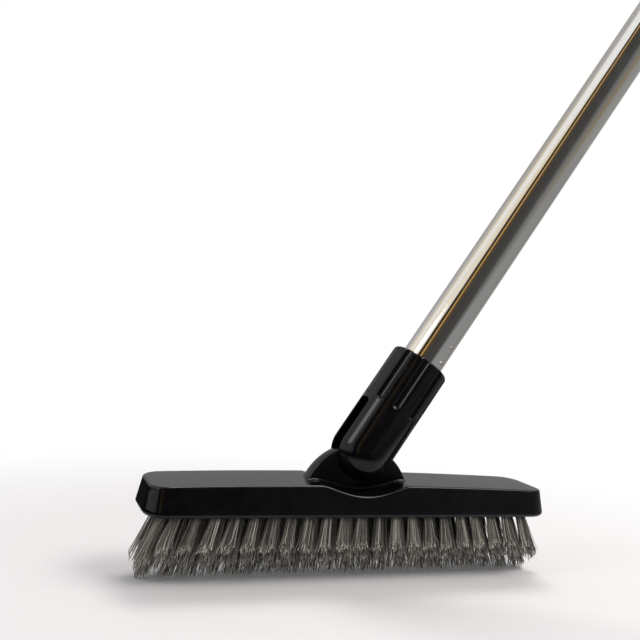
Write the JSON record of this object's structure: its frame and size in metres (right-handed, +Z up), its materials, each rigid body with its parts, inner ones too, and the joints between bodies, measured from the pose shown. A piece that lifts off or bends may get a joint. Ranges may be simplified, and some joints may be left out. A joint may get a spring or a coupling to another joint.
{
  "type": "grout brush",
  "caption": "Long-handled grout brush: a narrow glossy black head with V-trimmed grey bristles, swivelling on a fluted socket at the end of a chromed pole with a red grip.",
  "frame": {"origin": "on the ridge of the bristles, straight under the swivel pin", "axes": "+Z up from the bristles through the swivel pin, +X along the head towards the side that the pole leans to, +Y across the head and along the swivel pin"},
  "size_m": [0.7571, 0.038, 1.1089],
  "materials": {
    "black_plastic": "glossy moulded polypropylene",
    "dark_plastic": "plain moulded plastic, hidden in the pole",
    "grey_bristle": "stiff grey filaments, paler at the cut ends",
    "anchor_wire": "flat drawn wire",
    "pin_steel": "ground steel",
    "pole_chrome": "bright chrome on thin tube",
    "red_grip": "smooth dipped vinyl"
  },
  "bodies": {
    "handle": {"swivel_socket": "black_plastic", "pivot_pin": "pin_steel", "pole_plug": "dark_plastic", "pole_tube": "pole_chrome", "hand_grip": "red_grip"},
    "head": {"brush_block": "black_plastic", "bristle_row_1": "grey_bristle", "bristle_row_2": "grey_bristle", "bristle_row_3": "grey_bristle", "bristle_row_4": "grey_bristle", "bristle_row_5": "grey_bristle", "tuft_anchors": "anchor_wire"}
  },
  "joints": [
    {"name": "head_swivel", "type": "hinge", "parent": "handle", "child": "head", "pos_m": [0, 0, 0.0582], "axis": [0, 1, 0], "range_deg": [-38.5, 101.5]}
  ]
}
